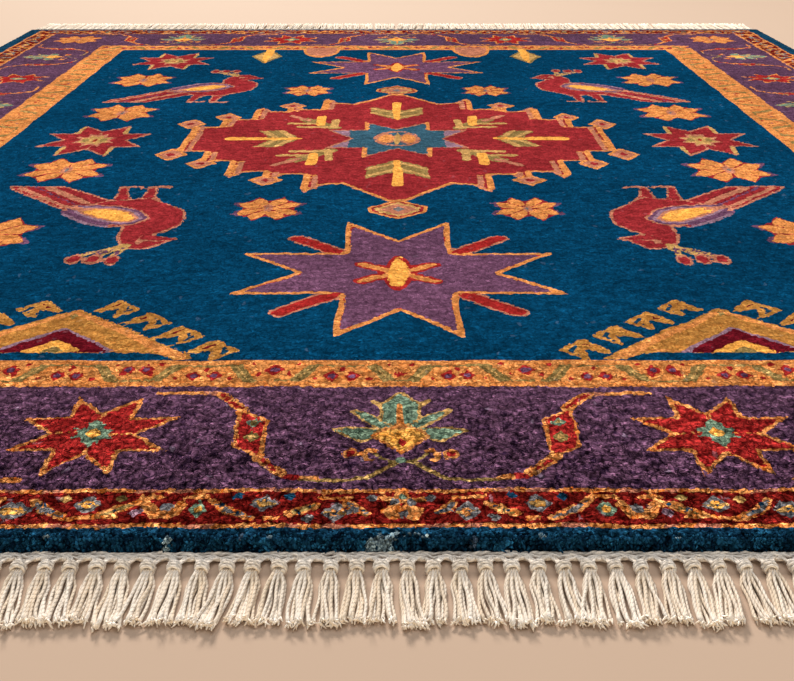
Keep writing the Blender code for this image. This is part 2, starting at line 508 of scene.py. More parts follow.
def borders(pen):
    """Bands, guards and the motifs of the purple border, on all four sides at once through |x| and |y|."""
    bands(pen)
    ax, ay = np.abs(pen.p), np.abs(pen.q)
    along_end, along_side = pen.p - MIDDLE_X, pen.q - MIDDLE_Y
    guard_mid = [(outer + inner) / 2 for outer, inner in zip(GUARD_OUT, PURPLE_OUT)]
    for outer, inner, zero, guard, for_sides in (
        (GOLD_OUT, FIELD_OUT, GOLD_OUT, gold_guard, [SIDE_FLOWER]),
        (GUARD_OUT, PURPLE_OUT, guard_mid, red_guard, []),
    ):
        at_end = (ay > inner[1]) & (ay < outer[1]) & (ax < outer[0])
        at_side = (ax > inner[0]) & (ax < outer[0]) & (ay < inner[1])
        pen.on(along_end, zero[1] - ay).work(at_end, guard)
        pen.on(along_side, zero[0] - ax).work(at_side, guard, *for_sides)
    for step, way in ((-1, -1), (0, 1), (1, -1)):
        end = pen.on(along_end, (CORNER[1] - ay) * way)
        end.place((step * PALMETTE_STEP, 0), PALMETTE_REACH, palmette)
    for step in (-0.5, 0.5):
        end = pen.on(along_end, CORNER[1] - ay)
        end.place((step * PALMETTE_STEP + STAR_SHIFT, 0), STAR_REACH, border_star)
    for step in range(-3, 4):
        motif, way = (palmette, 1 if step % 4 == 1 else -1) if step % 2 else (border_star, 1)
        side = pen.on(along_side / SIDE_SCALE, (CORNER[0] - ax) / SIDE_SCALE * way)
        side.place((step * SIDE_STEP / SIDE_SCALE, 0), PALMETTE_REACH, motif)
    pen.on(ax, ay).place(CORNER, (60, 70), rosette, *CORNER_ROSETTE)

# %% [markdown]
# ## The field
# The navy field is the same on the left and on the right, and almost the same at both ends, so most of it
# is drawn once on p and q, the distances from the field's middle lines.

# %% Medallion
MEDALLION = ((-20, -20), (318, -20), (318, 83), (277, 83), (277, 142), (233, 142), (233, 212), (224, 236),
             (208, 204), (181, 200), (181, 230), (156, 230), (156, 218), (126, 216), (126, 285), (120, 311),
             (101, 272), (72, 265), (40, 308), (18, 342), (14, 348), (-20, 348))
PENDANT = ((-20, 342), (0, 342), (37.5, 374), (34.5, 396), (0, 427), (-20, 427))
STEPS = ((318, -100, 83), (277, 83, 142), (233, 140, 218), (181, 200, 230), (126, 216, 290))  # p, q to q
STEP_BARS = (("gold", 10.5, 10.5, 0), ("pink", 3.5, 16.5, 4), ("crimson", 1.7, 10.5, 3))  # half, inset, gap
HOOKS = ((323, 101, 24, 38), (273, 154, 22, 34), (175, 245, 24, 30))  # place, then half sizes
SPRAYS = (
    ("olive", 12, (97, 76), (144, 134)),
    ("pink", 5.6, (140, 128), (170, 164)),
    ("straw", 6.4, (96, 78), (152, 82)),
    ("straw", 6, (121, 104), (168, 106)),
    ("straw", 6.2, (98, 77), (97, 132)),
    ("yellow", 7.4, (120, 98), (121, 156)),
)


def comb(pen, start, wide, bars, end, thick):
    """A gold comb: a leaf that points to the middle of the rug, two slanting bars on it, and a stem that
    runs on."""
    back = start + bars * 0.72
    pen.knot("olive", polygon, (-10, start), (0, start), (wide, start + bars * 0.42), (wide, start + bars),
             (wide * 0.3, back), (-10, back))
    for low, high in ((0.14, 0.50), (0.46, 0.86)):
        pen.knot("straw", stroke, (0, start + bars * low, 4), (wide * 0.94, start + bars * high, 4.4))
    pen.knot("yellow", stroke, (0, start + 4, thick), (0, end, thick * 1.8))


def medallion(pen):
    """Red stepped medallion with a double gold outline, hooks, combs and a blue star with lilac side
    arms."""
    for hook_p, hook_q, half_p, half_q in HOOKS:
        pen.knot("gold 5 pink", diamond, hook_p, hook_q, half_p, half_q)
        pen.knot("crimson", diamond, hook_p, hook_q, half_p * 0.30, half_q * 0.30)
    pen.knot("pink 2.4 gold 7.6 crimson", polygon, *MEDALLION)
    for step_p, low, high in STEPS:
        ends = np.minimum(pen.q - low, high - pen.q)
        for yarn, half, inset, gap in STEP_BARS:
            pen.knot(yarn, np.minimum(half - np.abs(pen.p - step_p + inset), ends - gap))
    pen.knot("gold 4.5 crimson 8.5 straw 14 pink", polygon, *PENDANT)
    pen.knot("slate", diamond, 0, 383, 8.5, 11)
    comb(pen, 135, 43, 103, 268, 4.4)
    comb(pen.on(pen.q, pen.p), 145, 54, 68, 248, 6.4)
    for yarn, width, start, end in SPRAYS:
        pen.knot(yarn, stroke, (*start, width), (*end, width))
    blue = star(pen.p, pen.q, (108, 115), (48, 60), (70, 66))
    pen.knot("pink 4.5 lilac", blue)
    pen.knot("azure", np.minimum(blue - 3.5, 72 - pen.p))
    pen.knot("gold", stroke, (47, 60, 3.4), (47, 115, 3.4))
    pen.knot("pink 5 azure", oval, 0, 0, 35, 50)
    pen.knot("pink 3 gold", oval, 16.5, 0, 14, 33)
    pen.knot("straw", oval, 0, 0, 4.5, 42)

# %% Stars of the field
def purple_star(pen):
    """A large purple star with a gold outline, red bars in its slanting notches and a six-armed gold
    figure."""
    pen = pen.folded()
    pen.knot("pink 3.6 madder", stroke, (62, 64, 12), (114, 118, 12))
    pen.knot("gold 5.6 madder 6.8 plum", star, (172, 186), (59.5, 66), (106, 113))
    pen.knot("madder", oval, 0, 0, 15, 56)
    pen.knot("madder", stroke, (0, 0, 10.2), (37.5, 26, 9))
    pen.knot("gold", stroke, (0, 0, 5.8), (37.5, 26, 4.6))
    pen.knot("yellow", oval, 0, 0, 10, 47)


def side_star(pen):
    """A red star with a pale outline and a straw-coloured heart with red and olive in it."""
    pen = pen.folded()
    pen.knot("pink 4.4 crimson", star, (80, 102), (36, 43), (50, 60))
    pen.knot("straw", stroke, (36, 47, 3.4), (34.5, 90, 2.8))
    pen.knot("pink", stroke, (0, 56, 2), (0, 0, 2))
    pen.knot("pink 4 straw", star, (32, 44), (14, 19), (21, 26))
    pen.knot("olive", oval, 13, 0, 5, 12)
    pen.knot("madder", oval, 0, 0, 3, 10)

# %% Birds
LEGS = (((343, 356), (354.5, 280), (332, 279)), ((313, 340), (316, 281), (294, 279)))  # hip, foot, toe
TAIL = ((504, 276), (495, 295), (386.5, 412), (369.5, 417), (330, 390), (359.5, 342), (372, 330), (428, 276))
FEATHERS = (
    ("pink", 7, (448, 284), (385, 356)),
    ("maroon", 1.6, (439, 286), (383, 348)),
    ("maroon", 1.6, (456, 290), (390, 366)),
    ("pink", 4.2, (486, 285), (398, 384)),
    ("plum", 2, (468, 282), (392, 370)),
)
TORSO = ((360, 344), (309.5, 330), (282.5, 360), (258, 390), (252, 422), (253.5, 450), (268, 476), (276, 485),
         (275, 498), (252, 506), (278, 544), (301.5, 540), (314, 520), (322, 490), (321, 456), (340, 463),
         (364, 443), (406, 386))
WING = ((392, 380), (372, 379), (345, 383), (322, 399), (310, 423), (318, 437), (335, 436), (360, 419),
        (380, 399))
CREST = ((348.5, 578), (329, 578), (308, 581))


def bird(pen):
    """A bird with its head towards the near end: legs, tail, body, wing, eye, beak, then crest."""
    for hip, foot, toe in LEGS:
        knee = (hip[0] * 0.6 + foot[0] * 0.4, 324, 8.8)
        pen.knot("pink 3.2 crimson", stroke, (*hip, 15), knee, (*foot, 6))
        pen.knot("pink", stroke, (*foot, 3.8), (*toe, 3.6), (toe[0] - 3, toe[1] + 10, 1.8))
    pen.knot("pink 4 crimson", polygon, *TAIL)
    for yarn, width, start, end in FEATHERS:
        pen.knot(yarn, stroke, (*start, width), (*end, width * 0.7))
    pen.knot("pink 3.8 crimson", polygon, *TORSO)
    pen.knot("pink 3.5 plum 8.5 lilac 13 pink 18 yellow", polygon(pen.p, pen.q, *WING) + 16)
    pen.knot("pink", stroke, (396, 378, 6), (376, 386, 4))
    pen.knot("plum", stroke, (404, 396, 5), (368, 436, 5), (342, 450, 3))
    pen.knot("lilac", stroke, (402, 405, 3), (366, 444, 3.4), (340, 459, 2.4))
    pen.knot("pink", oval, 291.5, 515, 4.8, 8.5)
    pen.knot("pink 3 crimson", stroke, (282, 501, 12.5), (252, 504, 4.6))
    for p, q in CREST:
        pen.knot("straw", stroke, (302, 528, 4.6), (p, q - 10, 4.4))
        pen.knot("plum", stroke, (303, 534, 1.6), (p, q - 14, 1.6))
    for p, q in CREST:
        pen.knot("pink 3 crimson", oval, p, q, 9, 18)

# %% Mountains with hooks, and hangings
PEAK = ((0, 720.5), (117, 831), (130, 846), (110, 846), (87, 832), (-87, 832), (-110, 846), (-130, 846),
        (-117, 831))
GABLES = (("lilac", 768, 60), ("maroon", 774, 53), ("yellow", 799, 30), ("olive", 814, 13))  # apex, foot
GABLE_FLOOR = 831


def hook(pen):
    """A gold hook like a small flag: a broad point to the right and a thin arm to the left, from one
    top."""
    pen.knot("ochre", polygon, (-23, 30), (0, 0), (25.5, 28), (1.5, 51), (-1, 46), (2, 25), (-17, 34.5))
    pen.knot("navy", stroke, (5, 40, 1), (13.5, 30, 2.6), (8.5, 19, 2.2))
    pen.knot("maroon", stroke, (1.5, 12, 1.6), (-8, 22, 1.4))


def mountain(pen):
    """A gold peak at the near end, standing on the gold guard, with a maroon gable in it and hooks on
    its slopes."""
    pen.knot("ochre 3 gold", polygon, *PEAK)
    pen.knot("ochre", polygon, (0, 733), (90, 825), (-90, 825))
    for yarn, apex, foot in GABLES:
        pen.knot(yarn, polygon, (0, apex), (foot, GABLE_FLOOR), (-foot, GABLE_FLOOR))
    pen.knot("olive", stroke, (0, 732, 2), (0, 748, 2))
    for side, hooks in ((-1, 4), (1, 3)):
        for step in range(hooks):
            slope = pen.on(pen.p * side, pen.q)
            slope.place((36 + 35.2 * step, 695 + 34.5 * step), (40, 60), hook)


def far_hangings(pen):
    """Leaves that hang from the far guard, each a gold rib in a paler blade, and round tabs next to the
    middle."""
    edge = FIELD_OUT[1] - MIDDLE_Y
    pen.knot("olive 6 straw", diamond, 265.5, 754, 31, 90)
    pen.knot("yellow", stroke, (265.5, edge, 9), (265.5, 760, 8.5), (265.5, 682, 3))
    pen.knot("gold 6 pink", oval, 157.5, edge, 39, 95)

# %% The whole chart
FIELD_X = 3.5  # the middle of the field's motifs
STAR_Y = 623  # from the weaver's middle to the big purple stars
ROSETTES = (((158, 381), (42, 54)), ((451, 190), (56, 69)), ((471, 486), (56, 70)))  # place, half sizes
STAR_BOX = (90, 110)
NEVER = 9000  # a place that no point of the other half reaches
WORN_TUFTS = (  # a thin place on the near edge, and single pale tufts: x, y, half width, half length
    (-15, -1150, 3.4, 3), (-10.5, -1147, 3, 3.6), (-5, -1150, 3, 2.8), (-4, -1144, 3.4, 3),
    (1, -1140, 3, 2.6), (1.5, -1147, 2.4, 2.4), (-10, -1140.5, 2.2, 1.8), (11, -1143, 2.6, 1.8),
    (21, -1146, 2.2, 2), (-82, -1146, 2.6, 2), (-148, -1148, 2.4, 2.2), (96, -1145, 2.6, 2),
    (184, -1146, 2.6, 2.2), (-226, -1145, 2.4, 2),
)


def blank_pen(x, y):
    """A pen on an all-navy chart. x and y come in metres."""
    chart = np.full((len(YARNS), x.size), -float(DEEPEST))
    chart[ROWS["navy"]] = DEEPEST
    return Pen(chart, x / MM, y / MM)


def rug_chart(x, y):
    """The yarn distances at every point of the cloth, one row for each yarn, all in metres."""
    rug = blank_pen(x, y)
    borders(rug)
    p, q = np.abs(rug.p - FIELD_X), np.abs(rug.q - MIDDLE_Y)
    near = rug.q < MIDDLE_Y
    field, far = rug.on(p, q), rug.on(p, np.where(near, NEVER, q))
    field.place((0, 0), (360, 440), medallion)
    field.place((0, STAR_Y), (180, 200), purple_star)
    field.place((0, 0), (520, 610), bird)
    for at, half in ROSETTES:
        field.place(at, half, rosette, *half)
    rug.on(p, np.abs(rug.q)).place((452, 0), STAR_BOX, side_star)
    far.place((448, 696), STAR_BOX, side_star)
    rug.on(p, np.where(near, -rug.q, NEVER)).place((307.5, 0), (210, 860), mountain)
    far.place((0, 0), (350, 860), far_hangings)
    for spot in WORN_TUFTS:
        rug.knot("frost", oval, *spot)
    return rug.chart * MM

# %% [markdown]
# ## The pile
# The pile is one open surface: a grid over the top, with its outer rows bent down over the edge of the rug.
# At a corner the rows fan round a quarter of a circle. Every point of the grid carries the distance of each
# yarn. The rug is cut into four pieces so that none has too many triangles; the near border, which is seen
# closest, has the finest grid. Neighbours share a straight line of the top without any unevenness, so no
# gap opens between them.

# %% Pile surface
RIM_ROUND = 0.0030
RIM_ARC = np.radians([0, 25, 50, 72, 90])
RIM_DROPS = np.array([0.0018, 0.0036, 0.0054])  # rows further down the face, below the rounding
TUFT_SHIFT = 0.24  # how far a point of the grid may stray, in spacings
TUFT_RISE = 0.00075  # unevenness of the clipped tufts
HAND_DRAWN = 0.0016  # how far the outlines stray from a ruler's
FADE = 0.02  # metres over which a piece flattens towards its neighbour
WORN_FROM, WORN_OVER, MOST_WORN = -1.0900, 0.3400, 0.68
rim_out = np.concatenate([RIM_ROUND * np.sin(RIM_ARC), np.full(len(RIM_DROPS), RIM_ROUND)])
rim_down = np.concatenate([RIM_ROUND * (1 - np.cos(RIM_ARC)), RIM_ROUND + RIM_DROPS])
rim_run = np.concatenate([RIM_ROUND * RIM_ARC, RIM_ROUND * math.pi / 2 + RIM_DROPS])
RIM_ROWS = len(rim_out) - 1


def rows_and_rest(count, wrap_start, wrap_end):
    """Row numbers of a grid with its bent rows: the nearest flat row, and how many rows past the flat
    part, signed."""
    rows = np.arange(-RIM_ROWS if wrap_start else 0, count + (RIM_ROWS if wrap_end else 0))
    flat = np.clip(rows, 0, count - 1)
    return flat, rows - flat


def grid_faces(rows, columns):
    """Four corners of every cell of a grid of points, anticlockwise from above. Columns run along X."""
    first = (np.arange(rows - 1)[:, None] * columns + np.arange(columns - 1)).ravel()
    return np.stack([first, first + 1, first + columns + 1, first + columns], axis=1)


def wave_noise(x, y, size, lengths, random):
    """Smooth unevenness: a sum of plane waves of random direction and phase, one for each wavelength."""
    total = np.zeros(x.shape)
    for length in lengths:
        turn, phase = random.uniform(0, 2 * math.pi, 2)
        total += np.sin((x * math.cos(turn) + y * math.sin(turn)) * 2 * math.pi / length + phase)
    return total * size / len(lengths)


def worn_at(y):
    """How much the tufts are felted: hardly at the near end, more and more over the next third of a
    metre."""
    return MOST_WORN * smooth((y - WORN_FROM) / WORN_OVER)


def pile_piece(name, y_start, y_end, spacing, material, seed):
    """A length of the pile between two Y places, with bent rows on every outer side. A bent row lies
    past the flat grid by (r sin t, -r (1 - cos t)), and turns from X to Y round a corner."""
    random = np.random.default_rng(seed)
    half_x, half_y = RUG_WIDTH / 2 - RIM_ROUND, RUG_LENGTH / 2 - RIM_ROUND
    y_low, y_high = max(y_start, -half_y), min(y_end, half_y)
    columns = round(2 * half_x / spacing) + 1
    rows = round((y_high - y_low) / spacing) + 1
    flat_i, past_i = rows_and_rest(columns, True, True)
    flat_j, past_j = rows_and_rest(rows, y_start <= -RUG_LENGTH / 2, y_end >= RUG_LENGTH / 2)
    past_x, past_y = past_i[None, :], past_j[:, None]
    far_x, far_y = np.abs(past_x), np.abs(past_y)
    ring = np.maximum(far_x, far_y)
    lesser = np.minimum(far_x, far_y) / np.maximum(ring, 1) * math.pi / 4
    turn = np.where(far_x >= far_y, lesser, math.pi / 2 - lesser)
    toward_x, toward_y = np.sign(past_x) * np.cos(turn), np.sign(past_y) * np.sin(turn)
    shape = ring.shape
    free = np.ones(shape)
    free[[0, -1]] = 0
    shift = random.uniform(-TUFT_SHIFT, TUFT_SHIFT, (2, *shape)) * spacing * free * (ring == 0)
    flat_x = np.linspace(-half_x, half_x, columns)[flat_i][None, :] + shift[0]
    flat_y = np.linspace(y_low, y_high, rows)[flat_j][:, None] + shift[1]
    out = rim_out[ring] + free * (ring > 2) * random.uniform(-0.0006, 0.0004, shape)
    x, y = flat_x + toward_x * out, flat_y + toward_y * out
    uneven = wave_noise(x, y, 0.0005, (0.31, 0.17, 0.23, 0.11), np.random.default_rng(5))
    fade = np.clip(np.minimum(y - y_low, y_high - y) / FADE, 0, 1)
    rise = random.uniform(-TUFT_RISE, TUFT_RISE, shape) * free * (ring < RIM_ROWS)
    z = RUG_TOP - rim_down[ring] + rise + uneven * np.where(ring == 0, fade, 0)
    cloth = np.stack([flat_x + toward_x * rim_run[ring], flat_y + toward_y * rim_run[ring]], axis=2)
    wobble = np.random.default_rng(11)
    seen_x = x + wave_noise(x, y, HAND_DRAWN, (0.093, 0.061, 0.140), wobble)
    seen_y = y + wave_noise(x, y, HAND_DRAWN, (0.087, 0.067, 0.150), wobble)
    values = dict(zip(YARNS, rug_chart(seen_x.ravel(), seen_y.ravel())), worn=worn_at(y.ravel()))
    faces = grid_faces(*shape)
    points = np.stack([x, y, z], axis=2).reshape(-1, 3)
    uv = cloth.reshape(-1, 2)[faces.ravel()]
    piece = new_piece(name, points, faces, material, uv, values, "pile")

# %% [markdown]
# ## Wool
# Hand-spun wool, dyed and clipped: every tuft is a small brush of fibres with its own shade, with painted
# shade where it dips between its neighbours, and almost without gloss. A knot takes 3.4 mm here, which is
# coarse but real for a village rug, and more along the rug, because the clipped tufts lean that way. The
# shader picks the yarn with the largest distance after it has moved each tuft's distances by up to 1.3 mm,
# which frays the outlines tuft by tuft. Inside a tuft the fibres lie one way: the place in its cell is turned
# by the tuft's own angle, and a noise that is stretched along that way draws the fibres, with painted shade
# at the root and painted light at the tip. Over the tufts lie curled strands with painted highlights on them
# and painted shadow in the creases between them, and slow lumps. Past the near end feet have felted the pile,
# and the point attribute "worn" flattens all this.

# %% Chains of nodes that come back
def winner(add, entries):
    """The colour whose distance is the largest, from pairs of a distance and a colour."""
    best, colour = entries[0]
    for distance, other in entries[1:]:
        wins = add("Math", {0: distance, 1: best}, operation="GREATER_THAN")
        best = add("Math", {0: distance, 1: best}, operation="MAXIMUM")
        colour = add("Mix", {"Factor": wins, 6: colour, 7: other}, data_type="RGBA").outputs[2]
    return colour


def mottled(add, shade, noise, least, most):
    """A shade times a noise that is spread from least to most."""
    spread = {"Value": noise, "From Min": 0.3, "From Max": 0.7, "To Min": least, "To Max": most}
    return add("Math", {0: shade, 1: add("MapRange", spread)}, operation="MULTIPLY")

# %% Wool material
TUFT = 0.0034  # metres from knot to knot
TUFT_LEAN = 0.60  # the clipped tufts lean along the rug, so that each looks longer that way
TUFT_FRAY = 0.0026  # how far a tuft may move an outline, from one side to the other
STIR = 2.2 * TUFT  # the rows wander over this length, and by up to half of it
FIBRE = 0.0007  # real fibres are far finer, drawn as thick as shows
ROW_STRETCH = 0.68  # strands and lumps run along the rows of knots, across the rug
CURL = 0.0062  # metres from one curled strand on the surface to the next
CURL_PATCH = 0.0130  # curls gather in patches of this size
LUMP = 0.0095  # tufts gather in lumps of this size
PATCHES = ((1 / (5 * TUFT), 0.16), (9.0, 0.10), (2.3, 0.10))  # uneven dye: scale, size of the change
FLAT_NOISE = {"noise_dimensions": "2D"}


def wool_pile():
    """Dyed wool pile: picks the yarn, then shades it tuft by tuft."""
    material, add, shader = new_material("dyed_wool_knotted_pile")
    cloth = add("UVMap", uv_map="cloth")
    worn = add("Attribute", attribute_name="worn").outputs["Fac"]
    fresh = add("Math", {0: 1.0, 1: worn}, operation="SUBTRACT")

    # the cells of the tufts, in rows that wander
    laid = add("VectorMath", {0: cloth, 1: (1.0, TUFT_LEAN, 1.0)}, operation="MULTIPLY")
    stir = add("TexNoise", {"Vector": laid, "Scale": 1 / STIR, "Detail": 2.0}, **FLAT_NOISE).outputs["Color"]
    push = add("VectorMath", {0: stir, 1: (0.5, 0.5, 0.5)}, operation="SUBTRACT")
    bend = add("VectorMath", {0: push, 1: (STIR,) * 3, 2: laid}, operation="MULTIPLY_ADD")
    cells = add("TexVoronoi", {"Vector": bend, "Scale": 1 / TUFT}, voronoi_dimensions="2D")
    own = add("TexWhiteNoise", {"Vector": cells.outputs["Position"]}, **FLAT_NOISE)
    chance = own.outputs["Value"]

    # the fibres of each tuft, turned its own way, and a ramp from root to tip for its height and its painted
    # light
    off = add("VectorMath", {0: bend, 1: cells.outputs["Position"]}, operation="SUBTRACT")
    angle = add("Math", {0: own.outputs["Color"], 1: 2 * math.pi}, operation="MULTIPLY")
    lying = add("VectorRotate", {"Vector": off, "Angle": angle}, rotation_type="Z_AXIS")
    thin = (0.28 / FIBRE, 1 / FIBRE, 0.0)
    combed = add("VectorMath", {0: lying, 1: thin, 2: own.outputs["Color"]}, operation="MULTIPLY_ADD")
    fibres = add("TexNoise", {"Vector": combed, "Scale": 1.0, "Detail": 1.0})
    along = add("SeparateXYZ", {"Vector": lying}).outputs["X"]
    tip = add("MapRange", {"Value": along, "From Min": -0.45 * TUFT, "From Max": 0.45 * TUFT})

    # curled strands over the tufts, in patches, with painted highlights, and the creases between them, with
    # painted shadow
    rows = add("VectorMath", {0: cloth, 1: (ROW_STRETCH, 1.0, 1.0)}, operation="MULTIPLY")
    winding = {"Vector": rows, "Scale": 1 / CURL, "Detail": 1.5, "Distortion": 1.2}
    curls = add("TexNoise", winding, **FLAT_NOISE)
    lines = []
    for level in (0.50, 0.60):
        away = add("Math", {0: curls, 1: level}, operation="SUBTRACT")
        away = add("Math", {0: away}, operation="ABSOLUTE")
        lines.append(add("MapRange", {"Value": away, "From Max": 0.052, "To Min": 1.0, "To Max": 0.0}))
    line, crease = lines
    where = add("TexNoise", {"Vector": cloth, "Scale": 1 / CURL_PATCH, "Detail": 1.0}, **FLAT_NOISE)
    sparse = add("MapRange", {"Value": where, "From Min": 0.42, "From Max": 0.56})
    curl = add("Math", {0: line, 1: sparse}, operation="MULTIPLY")

    # the tone inside each yarn, paler on the curled strands as a painted highlight, the frayed distances, the
    # yarn that wins and a stray pale hair
    fray = add("SeparateColor", {"Color": cells.outputs["Color"]})
    frays = [
        add("Math", {0: channel, 1: TUFT_FRAY, 2: -TUFT_FRAY / 2}, operation="MULTIPLY_ADD")
        for channel in fray.outputs
    ]
    hair = {"Value": fibres, "From Min": 0.3, "From Max": 0.7, "To Min": -0.26, "To Max": 0.26}
    lively = add("MapRange", hair)
    # the curled strands also pale the tone, a painted highlight
    for value, size in ((chance, 0.70), (curl, 0.90)):
        lively = add("Math", {0: value, 1: size, 2: lively}, operation="MULTIPLY_ADD")
    tone = add("Mix", {"Factor": worn, 2: lively, 3: 0.50}, data_type="FLOAT")
    entries = []
    for number, (yarn, (deep, pale)) in enumerate(YARNS.items()):
        distance = add("Attribute", attribute_name=yarn).outputs["Fac"]
        frayed = add("Math", {0: distance, 1: frays[number % 3]}, operation="ADD")
        dyed = add("Mix", {"Factor": tone, 6: linear(deep), 7: linear(pale)}, data_type="RGBA")
        entries.append((frayed, dyed.outputs[2]))
    stray = add("Math", {0: chance, 1: 0.994}, operation="GREATER_THAN")
    for factor in (fresh, 0.25):
        stray = add("Math", {0: stray, 1: factor}, operation="MULTIPLY")
    lint = {"Factor": stray, 6: winner(add, entries), 7: linear("#8f95a8")}
    colour = add("Mix", lint, data_type="RGBA").outputs[2]

    # light and dark: painted shade in the gaps between the tufts and at each tuft's root, painted light at
    # its tip, painted highlights on the strands and painted shadow in their creases, lumps, wear and uneven
    # dye
    gap = cells.outputs["Distance"]
    # painted shade: each tuft darker towards the edge of its cell, where it dips between its neighbours
    gap_dip_and_painted_shade = add("MapRange", {"Value": gap, "From Min": 0.30, "From Max": 0.75, "To Min": 1.20, "To Max": 0.40})
    # painted shade at each tuft's root and painted light at its tip
    painted_root_shade_tip_light = add("MapRange", {"Value": tip, "To Min": 0.70, "To Max": 1.30})
    # painted highlight along the curled strands
    glint = add("Math", {0: curl, 1: 0.85, 2: 1.0}, operation="MULTIPLY_ADD")
    # painted shadow in the creases beside the curled strands
    painted_crease_shadow = add("Math", {0: crease, 1: -0.62, 2: 1.0}, operation="MULTIPLY_ADD")
    heaps = add("TexNoise", {"Vector": rows, "Scale": 1 / LUMP, "Detail": 1.0}, **FLAT_NOISE)
    lump = add("MapRange", {"Value": heaps, "From Min": 0.32, "From Max": 0.68})
    clump = add("MapRange", {"Value": lump, "To Min": 0.62, "To Max": 1.50})
    shade = gap_dip_and_painted_shade
    for factor in (painted_root_shade_tip_light, glint, painted_crease_shadow, clump):
        shade = add("Math", {0: shade, 1: factor}, operation="MULTIPLY")
    shade = add("Mix", {"Factor": worn, 2: shade, 3: 1.0}, data_type="FLOAT")
    for scale, size in PATCHES:
        patches = add("TexNoise", {"Vector": cloth, "Scale": scale, "Detail": 2.0}, **FLAT_NOISE)
        shade = mottled(add, shade, patches, 1 - size, 1 + size)
    shaded = add("VectorMath", {0: colour, "Scale": shade}, operation="SCALE")

    # relief
    height = gap_dip_and_painted_shade
    for value, size in ((fibres, 1.2), (tip, 0.9), (chance, 0.6), (curl, 1.2), (crease, -1.0), (lump, 1.8)):
        height = add("Math", {0: value, 1: size, 2: height}, operation="MULTIPLY_ADD")
    height = add("Math", {0: height, 1: fresh}, operation="MULTIPLY")
    bump = add("Bump", {"Height": height, "Strength": 1.0, "Distance": 0.0012})
    set_inputs(shader, {"Base Color": shaded, "Normal": bump, "Roughness": 1.0, "Specular IOR Level": 0.0})
    return material


wool = wool_pile()
print("wool nodes", len(wool.node_tree.nodes))

# %% [markdown]
# Along the near edge the camera sees single tufts against the cotton, so that edge gets real ones: short
# bent cones in rows round the bend of the pile, each square to the surface, more or less. They are tubes
# round paths of three points, so the function that makes tubes comes first. The fringe uses it too.

# %% Tubes
def unit(vectors):
    """The same directions with a length of one."""
    return vectors / np.linalg.norm(vectors, axis=-1, keepdims=True)


def tubes(paths, radii, sides, up):
    """Closed tubes round many paths at once: points, triangles, corner UVs and the number of each point's
    tube.

    A ring of points stands square to the path: path + radius (cos t side + sin t top), with side =
    tangent x up. u runs round the tube and v is the length along it in metres. A pole closes each end."""
    count, rings = paths.shape[:2]
    tangent = unit(np.gradient(paths, axis=1))
    side = unit(np.cross(tangent, np.asarray(up, float)))
    top = np.cross(side, tangent)
    here = np.arange(sides)
    turn = here / sides * 2 * math.pi
    circle = np.cos(turn)[:, None] * side[:, :, None] + np.sin(turn)[:, None] * top[:, :, None]
    if np.ndim(radii) < 3:
        radii = np.broadcast_to(radii, (count, rings))[..., None]
    skin = (paths[:, :, None] + radii[..., None] * circle).reshape(-1, 3)
    run = np.linalg.norm(np.diff(paths, axis=1), axis=2).cumsum(axis=1)
    lengths = np.concatenate([np.zeros((count, 1)), run], axis=1)
    ring = np.arange(count * rings).reshape(count, rings) * sides
    a = (ring[:, :-1, None] + here).reshape(-1)
    b = (ring[:, :-1, None] + (here + 1) % sides).reshape(-1)
    walls = [np.stack([a, a + sides, b], axis=1), np.stack([b, a + sides, b + sides], axis=1)]
    u0 = np.tile(here / sides, count * (rings - 1))
    u1 = u0 + 1 / sides
    v0, v1 = (np.repeat(part.reshape(-1), sides) for part in (lengths[:, :-1], lengths[:, 1:]))
    uv = [np.stack([u0, v0, u0, v1, u1, v0], axis=1), np.stack([u1, v0, u0, v1, u1, v1], axis=1)]
    bulge = tangent * radii.mean(-1, keepdims=True) * 0.5
    first, last = ring[:, :1] + here, ring[:, -1:] + here
    pole = len(skin) + np.arange(2 * count)[:, None] + np.zeros(sides, int)
    caps = [
        np.stack([first, np.roll(first, -1, axis=1), pole[:count]], axis=2).reshape(-1, 3),
        np.stack([np.roll(last, -1, axis=1), last, pole[count:]], axis=2).reshape(-1, 3),
    ]
    cap_uv = np.zeros((2 * count * sides, 6))
    cap_uv[count * sides :, 1::2] = lengths[:, -1].repeat(sides)[:, None]
    points = np.concatenate([skin, paths[:, 0] - bulge[:, 0], paths[:, -1] + bulge[:, -1]])
    owner = np.concatenate([np.arange(count).repeat(rings * sides), np.arange(count), np.arange(count)])
    return points, np.concatenate(walls + caps), np.concatenate([*uv, cap_uv]).reshape(-1, 2), owner

# %% Tufts of the near edge
EDGE_STEP = 0.0031  # from tuft to tuft in a row
EDGE_ROWS = ((-0.0048, 0), (-0.0018, 0), (0.0, 28), (0.0, 62), (0.0006, 90), (0.0032, 90))  # run, degrees
EDGE_ROOT = 0.0012  # how deep a tuft is rooted in the pile
EDGE_RADII = np.array([0.0013, 0.0012, 0.0004])
EDGE_FLOOR = 0.0016  # no tuft reaches lower


